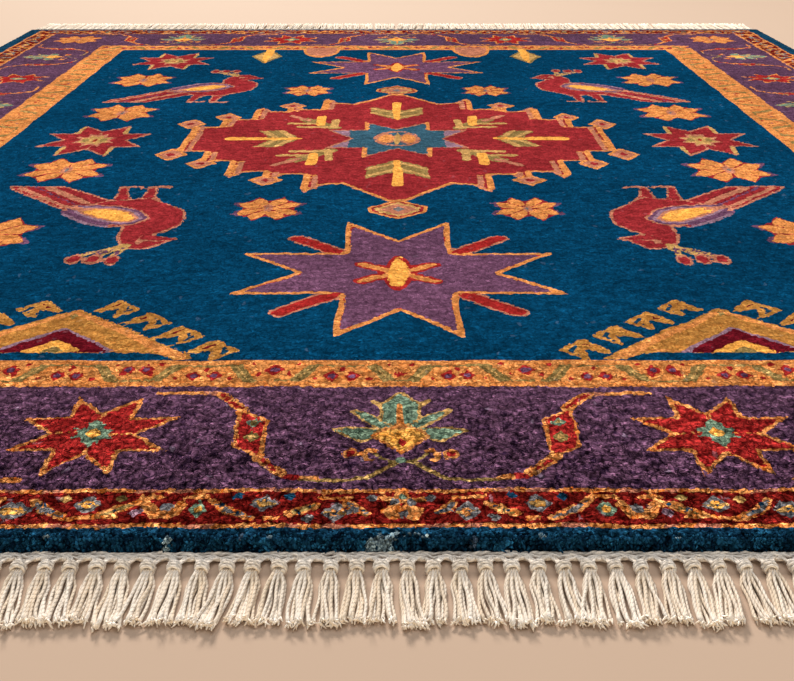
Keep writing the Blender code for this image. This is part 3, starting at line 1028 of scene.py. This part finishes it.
def edge_tufts(name, material, seed):
    """Rows of tufts round the near edge. A row lies at an angle t of the bend, or a run before or after
    it: place = edge + (0, -r sin t, r cos t), way out = (0, -sin t, cos t)."""
    random = np.random.default_rng(seed)
    columns = int((RUG_WIDTH - 2 * RIM_ROUND) / EDGE_STEP)
    run, angle = (np.array(part, float)[:, None] for part in zip(*EDGE_ROWS))
    angle = np.radians(angle)
    shape = (len(EDGE_ROWS), columns)
    stagger = 0.25 + 0.5 * (np.arange(len(EDGE_ROWS)) % 2)[:, None]
    x = (np.arange(columns) + stagger) * EDGE_STEP - RUG_WIDTH / 2 + RIM_ROUND
    x = x + random.uniform(-0.0010, 0.0010, shape)
    run = run + random.uniform(-0.0009, 0.0009, shape)
    flat_run, drop = np.minimum(run, 0) * np.cos(angle), np.maximum(run, 0) * np.sin(angle)
    edge_y = -RUG_LENGTH / 2 + RIM_ROUND
    y = edge_y - flat_run - RIM_ROUND * np.sin(angle)
    z = RUG_TOP - RIM_ROUND * (1 - np.cos(angle)) - drop
    start = np.stack([x, y, z], axis=2)
    out_x = random.normal(0, 0.45, shape)
    out_y = -np.sin(angle) + random.normal(0, 0.25, shape)
    out = unit(np.stack([out_x, out_y, np.cos(angle) + random.normal(0.05, 0.25, shape)], axis=2))
    size = random.uniform(0.0012, 0.0026, shape)
    size = (size + 0.0016 * (angle > 1.3) * random.uniform(0.2, 1.0, shape))[..., None]
    bend_x, bend_z = random.normal(0, 0.0006, shape), random.normal(-0.0004, 0.0004, shape)
    bend = np.stack([bend_x, np.full(shape, -0.0003), bend_z], axis=2)
    paths = np.stack([start - out * EDGE_ROOT, start + out * size * 0.5, start + out * size + bend], axis=2)
    paths = paths.reshape(-1, 3, 3)
    paths[..., 2] = np.maximum(paths[..., 2], EDGE_FLOOR)
    radii = EDGE_RADII * random.uniform(0.8, 1.2, (len(paths), 1))
    points, faces, uv, owner = tubes(paths, radii, 4, (1, 0, 0))
    cloth = np.stack([x, edge_y - (RIM_ROUND * angle + drop + flat_run)], axis=2).reshape(-1, 2)
    uv = cloth[owner[faces.ravel()]] + uv * (0.0010, 0.5)
    chart = rug_chart(cloth[:, 0], np.maximum(cloth[:, 1], -RUG_LENGTH / 2))[:, owner]
    values = dict(zip(YARNS, chart), worn=np.zeros(len(points)))
    new_piece(name, points, faces, material, uv, values, "pile")

# %% The pieces of the pile
BORDER_INNER = FIELD_OUT[1] * MM
end = RUG_LENGTH / 2
pile_piece("pile_near_border", -end, -BORDER_INNER, 0.0030, wool, 1)
pile_piece("pile_near_field", -BORDER_INNER, 0.0, 0.0046, wool, 2)
pile_piece("pile_far_field", 0.0, BORDER_INNER, 0.0052, wool, 3)
pile_piece("pile_far_border", BORDER_INNER, end, 0.0052, wool, 4)
edge_tufts("pile_edge_tufts", wool, 5)

# %% [markdown]
# ## The back
# Turned over, the rug shows its cotton wefts and the backs of the knots. It lies on the floor, so a plain
# sheet with the bands of the border is enough, in the same yarns with a fine ribbed weave.

# %% Back
BACK_YARNS = ("navy", "red", "gold", "purple", "indigo")
BACK_HEIGHT = 0.0012
BACK_MARGIN = 0.0025  # from the rug's edge
BACK_GRID = (86, 116)


def back_wool():
    """The flat woven back: the yarn chart again, ribbed by the rows of knots."""
    material, add, shader = new_material("rug_back_weave")
    cloth = add("UVMap", uv_map="cloth")
    rows = {"Vector": cloth, "Scale": 1 / TUFT, "Randomness": 0.25}
    weave = add("TexVoronoi", rows, voronoi_dimensions="2D")
    distances = [add("Attribute", attribute_name=yarn).outputs["Fac"] for yarn in BACK_YARNS]
    colour = winner(add, list(zip(distances, [linear(YARNS[yarn][1]) for yarn in BACK_YARNS])))
    weft = add("MapRange", {"Value": weave, "From Min": 0.35, "From Max": 0.7, "To Max": 0.5})
    mixed = add("Mix", {"Factor": weft, 6: colour, 7: linear("#a08c78")}, data_type="RGBA").outputs[2]
    bump = add("Bump", {"Height": weave, "Strength": 0.6, "Distance": 0.0008}, invert=True)
    set_inputs(shader, {"Base Color": mixed, "Normal": bump, "Roughness": 0.95})
    return material


back_x, back_y = (
    np.linspace(-size / 2 + BACK_MARGIN, size / 2 - BACK_MARGIN, count)
    for size, count in zip((RUG_WIDTH, RUG_LENGTH), BACK_GRID)
)
grid_y, grid_x = (part.ravel() for part in np.meshgrid(back_y, back_x, indexing="ij"))
back_pen = blank_pen(grid_x, grid_y)
bands(back_pen)
back_values = {yarn: back_pen.chart[ROWS[yarn]] * MM for yarn in BACK_YARNS}
back_faces = grid_faces(len(back_y), len(back_x))[:, ::-1]
back_points = np.stack([grid_x, grid_y, np.full(grid_x.shape, BACK_HEIGHT)], axis=1)
back_uv, weave = back_points[back_faces.ravel(), :2], back_wool()
rug_back = new_piece("rug_back", back_points, back_faces, weave, back_uv, back_values, "pile")

# %% [markdown]
# ## The fringe
# The warps leave the pile through a narrow twined strip and are knotted together in tassels. All of it is
# round cotton yarn, so all of it is tubes round paths, made many at a time from one array of points.
#
# The cotton is undyed yarn of two plies: matt, warm white, with painted shade in the groove between the
# plies, and dust and a brown painted shade where it lies on the floor. One turn of the two plies takes 9 mm.
# The plies come from the UV map of the tubes, which runs round and along the yarn, as stripes that wind round
# it. Towards a free end the attribute "loose" opens the twist and pales it.

# %% Cotton material
PLY_TWIST = 0.0090  # one whole turn of the two plies


def cotton_yarn():
    """Two-ply cotton: a winding groove with painted shade in it, fine fibres, dust and painted shade near the
    floor, and each yarn a little lighter or darker."""
    material, add, shader = new_material("undyed_cotton_two_ply_yarn")
    round_way = add("SeparateXYZ", {"Vector": add("UVMap", uv_map="cloth")})
    plies = {0: round_way.outputs["Y"], 1: 1 / PLY_TWIST, 2: round_way.outputs["X"]}
    winding = add("Math", plies, operation="MULTIPLY_ADD")
    turns = add("Math", {0: winding, 1: 0.25}, operation="PINGPONG")
    across = {"Value": turns, "From Min": 0.0, "From Max": 0.16}
    groove = add("MapRange", across, interpolation_type="SMOOTHSTEP")
    loose = add("Attribute", attribute_name="loose").outputs["Fac"]
    groove = add("Math", {0: groove, 1: loose}, operation="MAXIMUM")
    spot = add("TexCoord").outputs["Object"]
    fibres = add("TexNoise", {"Vector": spot, "Scale": 1500.0, "Detail": 3.0})
    stains = add("TexNoise", {"Vector": spot, "Scale": 60.0, "Detail": 2.0})
    height = add("SeparateXYZ", {"Vector": spot}).outputs["Z"]
    own = add("Attribute", attribute_name="shade").outputs["Fac"]
    pale = add("Math", {0: loose, 1: 0.3, 2: own}, operation="MULTIPLY_ADD")
    clean = {"Factor": pale, 6: linear("#ecdac4"), 7: linear("#fff8f0")}
    clean = add("Mix", clean, data_type="RGBA").outputs[2]
    # dust and painted shade near the floor: below about 1.4 mm the yarn turns brown
    clear_of_painted_floor_shade = add("MapRange", {"Value": height, "From Min": 0.0001, "From Max": 0.0014})
    tone = add("Mix", {"Factor": clear_of_painted_floor_shade, 6: linear("#8a5f40"), 7: clean}, data_type="RGBA").outputs[2]
    # painted shade in the groove between the plies, then fibres and stains
    painted_groove_shade_and_stains = add("MapRange", {"Value": groove, "To Min": 0.78, "To Max": 1.02})
    painted_groove_shade_and_stains = mottled(add, painted_groove_shade_and_stains, fibres, 0.88, 1.08)
    painted_groove_shade_and_stains = mottled(add, painted_groove_shade_and_stains, stains, 0.92, 1.04)
    shaded = add("VectorMath", {0: tone, "Scale": painted_groove_shade_and_stains}, operation="SCALE")
    relief = add("Math", {0: fibres, 1: 0.6, 2: groove}, operation="MULTIPLY_ADD")
    bump = add("Bump", {"Height": relief, "Strength": 0.8, "Distance": 0.00025})
    set_inputs(shader, {"Base Color": shaded, "Normal": bump, "Roughness": 0.95, "Specular IOR Level": 0.1})
    return material


cotton = cotton_yarn()
print("cotton nodes", len(cotton.node_tree.nodes))

# %% [markdown]
# ### Places of the tassels
# The tassels stand at an even pitch along the strip. Slow waves lean them and trim them unevenly, with the
# same formula as the solids they replace, so each dressed tassel lies where its solid lies.

# %% Tassel places
TASSELS = 104
PITCH = RUG_WIDTH / TASSELS
STRIP = 0.0097  # width of the twined strip
KNOT_BACK, KNOT_FRONT = 0.0094, 0.0194  # from the strip's outer edge
WAIST = 0.0204  # where the strands leave the knot
LOOSE_END, LOOSE_OVER = 0.0135, 0.0070  # the last stretch of a strand, and how soon its twist opens there
NEAR_REACH = 0.081
LEAN_WAVES = ((0.0026, 0.37, 0.4), (0.0007, 2.30, 1.9))  # size, radians a tassel, phase
TRIM_WAVES = ((0.0022, 1.70, 0.8), (0.0014, 2.90, 2.2))
YARN_RADIUS = 0.00124

tassel = np.arange(TASSELS)
tassel_x = (tassel + 0.5) * PITCH - RUG_WIDTH / 2


def waves(table):
    """Sum of size x sin(turn x tassel + phase)."""
    return sum(size * np.sin(turn * tassel + phase) for size, turn, phase in table)

# %% [markdown]
# ### Strands
# Nine yarns leave each knot in two layers, five below and four above. On their way out they spread until
# they lie side by side on the floor, cross a neighbour now and then, and wander a little. Their ends are
# frayed.

# %% Strand paths
UNDER = (-1.0, -0.5, 0.0, 0.5, 1.0)  # places across the knot
OVER = (-0.75, -0.25, 0.25, 0.75)
STRANDS = len(UNDER) + len(OVER)
END_TAPER = (1.05, 1.16, 0.85)  # a strand swells where its twist opens, then ends
FRAY_RADII = (0.00085, 0.00070, 0.00040)
FRAY_FLOOR = 0.0006


def strand_paths(strip_y, outward, reach, rings, random):
    """Paths of every strand, shape (tassels x strands, rings, 3), and their radii. s runs from 0 at the
    knot to 1 at the end."""
    each, every = (TASSELS, STRANDS), (TASSELS, STRANDS, 1)
    lean = waves(LEAN_WAVES) * reach / NEAR_REACH
    trim = waves(TRIM_WAVES) - sum(size for size, _, _ in TRIM_WAVES)
    share = np.linspace(0, 1, rings - 2) ** 0.9
    start = np.array(UNDER + OVER)
    order = np.argsort(np.argsort(start + random.normal(0, 0.24, each), axis=1), axis=1)
    end_slot = order / (STRANDS - 1) * 2 - 1 + random.normal(0, 0.10, each)
    free = (reach - STRIP - WAIST + trim)[:, None] * (1 + random.uniform(-0.060, 0.0, each))
    free = free[..., None]
    bound = np.broadcast_to([KNOT_BACK + 0.001, KNOT_FRONT - 0.001], (*each, 2))
    along = np.concatenate([bound, WAIST + free * share], axis=2)
    s = np.clip((along - WAIST) / free, 0, 1)
    half = 0.0030 + 0.0024 * smooth(s / 0.20) + (0.0015 + random.normal(0, 0.0005, (TASSELS, 1, 1))) * s
    spread = start[None, :, None] * (1 - smooth(s / 0.8)) + end_slot[..., None] * smooth(s / 0.8)
    phase = random.uniform(0, 2 * math.pi, (3, *every))
    far = s * free
    wander = 0.0009 * s * np.sin(far / 0.0105 + phase[0])
    wander = wander + 0.0004 * np.minimum(1, 4 * s) * np.sin(far / 0.0060 + phase[1])
    sway = (random.normal(0, 0.0008, every) + random.normal(0, 0.0014, (TASSELS, 1, 1))) * s**2
    x = tassel_x[:, None, None] + lean[:, None, None] * s**1.5 + half * spread + wander + sway
    y = strip_y + outward * along
    under = 0.0014 + 0.0017 * (1 - smooth(s / 0.25)) + 0.0004 * np.sin(far / 0.011 + phase[2]) * s
    over = 0.0056 - 0.0018 * smooth(s / 0.35) - 0.0008 * smooth((s - 0.25) / 0.75)
    is_over = (np.arange(STRANDS) >= len(UNDER))[None, :, None]
    z = np.maximum(np.where(is_over, over, under), YARN_RADIUS * 1.30)
    thick = YARN_RADIUS * random.uniform(0.86, 1.12, (TASSELS * STRANDS, 1))
    taper = np.concatenate([np.ones(rings - len(END_TAPER)), END_TAPER])
    return np.stack([x, y, z], axis=3).reshape(-1, rings, 3), thick * taper


def fray_paths(strands, per_strand, random):
    """Short fibres that fan out of the end of every strand, down to the floor."""
    back = random.uniform(0.0, 0.6, len(strands) * per_strand)[:, None]
    tips, before = (strands[:, ring].repeat(per_strand, axis=0) for ring in (-1, -2))
    way_x, way_y, _ = unit(tips - before).T
    count = len(tips)
    turn = random.normal(0, 0.26, count)
    out_x = way_x * np.cos(turn) - way_y * np.sin(turn)
    out_y = way_x * np.sin(turn) + way_y * np.cos(turn)
    out = np.stack([out_x, out_y, random.uniform(-0.14, 0.08, count)], axis=1)
    size = random.uniform(0.0016, 0.0042, count)[:, None]
    start = tips * (1 - back) + before * back + random.normal(0, 0.0005, (count, 3))
    bend = random.normal(0, 0.0006, (count, 3))
    paths = np.stack([start, start + out * size * 0.55 + bend, start + out * size + bend * 2.2], axis=1)
    paths[..., 2] = np.maximum(paths[..., 2], FRAY_FLOOR)
    return paths, np.broadcast_to(FRAY_RADII, (count, 3))

# %% [markdown]
# ### Knots and strip
# Each tassel is bound by its own yarn, wound round it three times and a half into a small barrel. Behind
# the knots lie three twisted cords, the whole width of the rug. The inner one is straight, the next swings
# a little towards every knot, and the outer one swings most. The warps pass from them to the knots in small
# webs, which leave dark gaps between.

# %% Knot, web and cord paths
KNOT_TURNS = 3.5
KNOT_HALF = (0.0040, 0.0034)  # half width and half height of the winding
KNOT_YARN = 0.00128
WEBS = 6  # warps drawn in each web, three from either side
WEB_OUT, WEB_IN = 0.0076, 0.0021  # half width of a web at the strip and at the knot
CORDS = ((-0.0070, 0.0), (-0.0038, 0.35), (-0.0006, 1.0))  # from the strip's outer edge, share of the swing
CORD_RADIUS = 0.00145
CORD_TWIST = 0.0062  # half a turn of the two plies
CORD_SIDES = 8
CORD_WAYS = np.array([-1, 1, -1])  # neighbours are twisted opposite ways
SWING = 0.0034  # how far the outer cord reaches towards each knot


def knot_paths(strip_y, outward, random):
    """An oval winding round each tassel: x = a cos t, z = b sin t, moving outwards with t, widest half
    way."""
    steps = np.linspace(0, 1, int(KNOT_TURNS * 10))
    each = (TASSELS, 1)
    turn = steps * KNOT_TURNS * 2 * math.pi + random.uniform(2.0, 4.0, each)
    slant = random.normal(0.08, 0.16, each)
    swell = (1.06 - 0.30 * (2 * steps - 1) ** 2) * random.uniform(0.93, 1.08, each)
    across, up = KNOT_HALF[0] * swell * np.cos(turn), KNOT_HALF[1] * swell * np.sin(turn)
    y = KNOT_BACK + (KNOT_FRONT - KNOT_BACK) * steps + slant * across + random.normal(0, 0.0003, each)
    x = tassel_x[:, None] + across + random.normal(0, 0.0004, each)
    z = KNOT_HALF[1] * 1.15 + KNOT_YARN + up
    return np.stack([x, strip_y + outward * y, z], axis=2)


def web_paths(strip_y, outward, random):
    """Warps that leave the strip between two knots and gather at the back of one: flat at first, then
    steep."""
    side = np.concatenate([np.linspace(-1, -0.55, WEBS // 2), np.linspace(0.55, 1, WEBS // 2)])
    side = side + random.normal(0, 0.05, (TASSELS, WEBS))
    steps = np.linspace(0, 1, 6)
    x = tassel_x[:, None, None] + side[..., None] * (WEB_OUT * (1 - steps) + WEB_IN * steps)
    y = -0.0016 + (KNOT_BACK + 0.0030) * steps**1.5
    z = 0.0022 + random.uniform(-0.0004, 0.0006, (TASSELS, WEBS, 1)) + 0.0024 * steps
    paths = np.stack(np.broadcast_arrays(x, strip_y + outward * y, z), axis=3)
    return paths.reshape(TASSELS * WEBS, len(steps), 3)


def cord_paths(strip_y, outward, step, random):
    """Cords across the rug and their two-lobed, winding section: radius x (0.64 + 0.46 |cos(t -
    twist)|). They swing towards every knot by (1 - |sin(pi x / pitch)|) ^ 1.5."""
    half = RUG_WIDTH / 2 - CORD_RADIUS
    x = np.linspace(-half, half, round(2 * half / step))
    turn = np.arange(CORD_SIDES) / CORD_SIDES * 2 * math.pi
    swing = (1 - np.abs(np.sin(math.pi * (x - tassel_x[0]) / PITCH))) ** 1.5 * SWING
    paths, radii = [], []
    for (place_y, share), way in zip(CORDS, -CORD_WAYS):
        uneven = wave_noise(x, x, 0.0014, (0.0163, 0.041, 0.103), random)
        y = strip_y + outward * (place_y + uneven + swing * share)
        rise = wave_noise(x, x, 0.0004, (0.023, 0.057, 0.013), random)
        twist = x / CORD_TWIST * math.pi * way
        thick = CORD_RADIUS * (1 + wave_noise(x, x, 0.25, (0.019, 0.047), random))
        paths.append(np.stack([x, y, 1.1 * thick + 0.0005 + rise], axis=1))
        radii.append(thick[:, None] * (0.64 + 0.46 * np.abs(np.cos(turn - twist[:, None]))))
    return np.array(paths), np.array(radii)

# %% Both fringes
def joined(bundles):
    """Several bundles of tubes as one, with the shade of each tube at its points."""
    made = [[], [], [], []]
    offset = 0
    for (points, faces, uv, owner), shade in bundles:
        for part, array in zip(made, (points, faces + offset, uv, shade[owner])):
            part.append(array)
        offset += len(points)
    return [np.concatenate(part) for part in made]


def fringe(node, strip_y, outward, reach, rings, frays, cord_step, seed):
    """Strands as one piece, and knots, webs and cords as another. Both stand for the fringe's solid."""
    random = np.random.default_rng(seed)
    sides, up = 4, (0, 0, 1)
    strands, thick = strand_paths(strip_y, outward, reach, rings, random)
    fibres, fine = fray_paths(strands, frays, random)
    own = random.uniform(0.05, 0.85, len(strands))
    loose_yarns = [(tubes(strands, thick, sides, up), own), (tubes(fibres, fine, 3, up), own.repeat(frays))]
    points, faces, uv, shade = joined(loose_yarns)
    loose = smooth((np.abs(points[:, 1] - strip_y) - (reach - STRIP - LOOSE_END)) / LOOSE_OVER)
    values = {"shade": shade, "loose": loose}
    new_piece(node + "_strands", points, faces, cotton, uv, values, node)
    knots = knot_paths(strip_y, outward, random)
    webs = web_paths(strip_y, outward, random)
    rope = tubes(*cord_paths(strip_y, outward, cord_step, random), CORD_SIDES, up)
    corners = rope[1].ravel()
    # v follows the twist of the section, so that the groove lies between the two lobes
    way = CORD_WAYS[rope[3][corners]]
    rope[2][:, 1] = (way * rope[0][corners, 0] / (2 * CORD_TWIST) - 0.25) * PLY_TWIST
    points, faces, uv, shade = joined([
        (tubes(knots, KNOT_YARN, sides, (0, 1, 0)), random.uniform(0.60, 1.00, len(knots))),
        (tubes(webs, YARN_RADIUS * 0.85, sides, up), random.uniform(0.4, 1.0, len(webs))),
        (rope, np.array([0.85, 0.95, 1.00])),
    ])
    values = {"shade": shade, "loose": np.zeros(len(points))}
    new_piece(node + "_knots", points, faces, cotton, uv, values, node)


NEAR_OVER = 0.003  # the near strands reach this far past their solid
near_reach, far_reach = float(near_high[1] - near_low[1]) + NEAR_OVER, float(far_high[1] - far_low[1])
fringe("fringe_near", float(near_high[1]) - STRIP, -1, near_reach, 15, 5, 0.0013, 21)
fringe("fringe_far", float(far_low[1]) + STRIP, 1, far_reach, 8, 1, 0.0036, 22)

# %% [markdown]
# ## Floor and light
# A plain pale floor and soft light from large lamps that the camera doesn't see. The main lamp stands
# beyond the far end, as a window would, so the tufts and the strands throw their small shadows towards the
# camera. A weak lamp hangs over the rug, and a wide warm one far behind the camera lifts the shadows, as a
# pale wall would.

# %% Floor
FLOOR_HALF, FLOOR_LEVEL = 6.0, -0.0002
floor_material, _, floor_shader = new_material("pale_matt_floor")
set_inputs(floor_shader, {"Base Color": linear("#c0a997"), "Roughness": 0.9, "Specular IOR Level": 0.1})
floor_mesh = bpy.data.meshes.new("floor")
floor_corners = np.array([(-1, -1, 0), (1, -1, 0), (1, 1, 0), (-1, 1, 0)]) * FLOOR_HALF + (0, 0, FLOOR_LEVEL)
floor_mesh.from_pydata(floor_corners.tolist(), [], [(0, 1, 2, 3)])
floor_mesh.materials.append(floor_material)
floor = bpy.data.objects.new("floor", floor_mesh)
bpy.context.scene.collection.objects.link(floor)

# %% Light
LAMPS = (  # name, place, width, height, watts, colour
    ("window_lamp", (-3.2, 19.0, 7.4), 5.2, 2.35, 7900.0, "#fff4e6"),
    ("ceiling_lamp", (0.4, 0.3, 2.8), 2.4, 2.4, 40.0, "#fffaf4"),
    ("warm_reflector", (0.3, -16.0, 1.8), 9.0, 2.4, 1020.0, "#ffe6bc"),
)
for name, spot, width, height, watts, tint in LAMPS:
    lamp = bpy.data.lights.new(name, "AREA")
    lamp.shape = "RECTANGLE"
    lamp.size = width
    lamp.size_y = height
    lamp.energy = watts
    lamp.color = linear(tint)[:3]
    holder = bpy.data.objects.new(name, lamp)
    holder.location = spot
    aim = -np.array(spot)
    holder.rotation_euler = (math.atan2(math.hypot(aim[0], aim[1]), -aim[2]), 0, math.atan2(-aim[0], aim[1]))
    holder.visible_camera = False
    bpy.context.scene.collection.objects.link(holder)

world = bpy.data.worlds.new("room")
world.use_nodes = True
set_inputs(world.node_tree.nodes["Background"], {"Color": linear("#f1f0ee"), "Strength": 0.34})
bpy.context.scene.world = world
bpy.context.scene.view_settings.view_transform = "Standard"
print("lamps", len(LAMPS))
